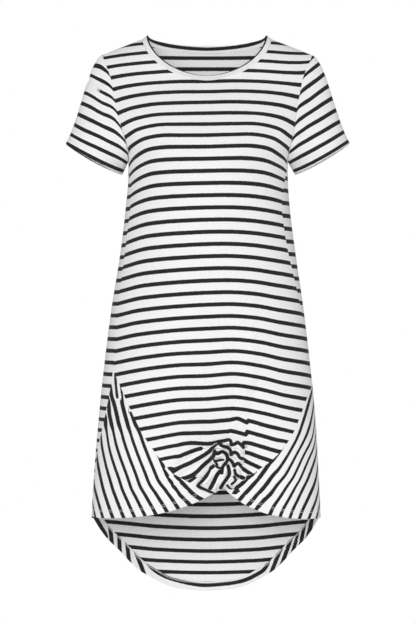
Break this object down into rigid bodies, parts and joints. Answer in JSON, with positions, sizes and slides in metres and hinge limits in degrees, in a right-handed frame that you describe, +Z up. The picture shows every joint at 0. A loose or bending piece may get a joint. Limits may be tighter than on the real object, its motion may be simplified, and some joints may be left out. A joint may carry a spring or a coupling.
{
  "type": "t-shirt dress",
  "caption": "Striped jersey t-shirt dress, filled out as worn, with a crew neck, short sleeves, curved side panels, a knotted front hem and a long rounded back.",
  "frame": {"origin": "where the wearer's shoulders hold the dress: on the middle line, between the two neck points, at the height of the neck band's shoulder edge", "axes": "+Z up, +X to the wearer's left, -Y the way the wearer faces"},
  "size_m": [0.525, 0.2398, 1.0428],
  "materials": {
    "striped_jersey": "matt single jersey, white with narrow black yarn-dyed stripes",
    "plain_jersey": "matt white jersey band, black along its inner fold"
  },
  "bodies": {
    "root": {"front": "striped_jersey", "back": "striped_jersey", "side_front_right": "striped_jersey", "side_front_left": "striped_jersey", "sleeve_right": "striped_jersey", "sleeve_left": "striped_jersey", "neckband": "plain_jersey", "knot": "striped_jersey"}
  },
  "joints": []
}
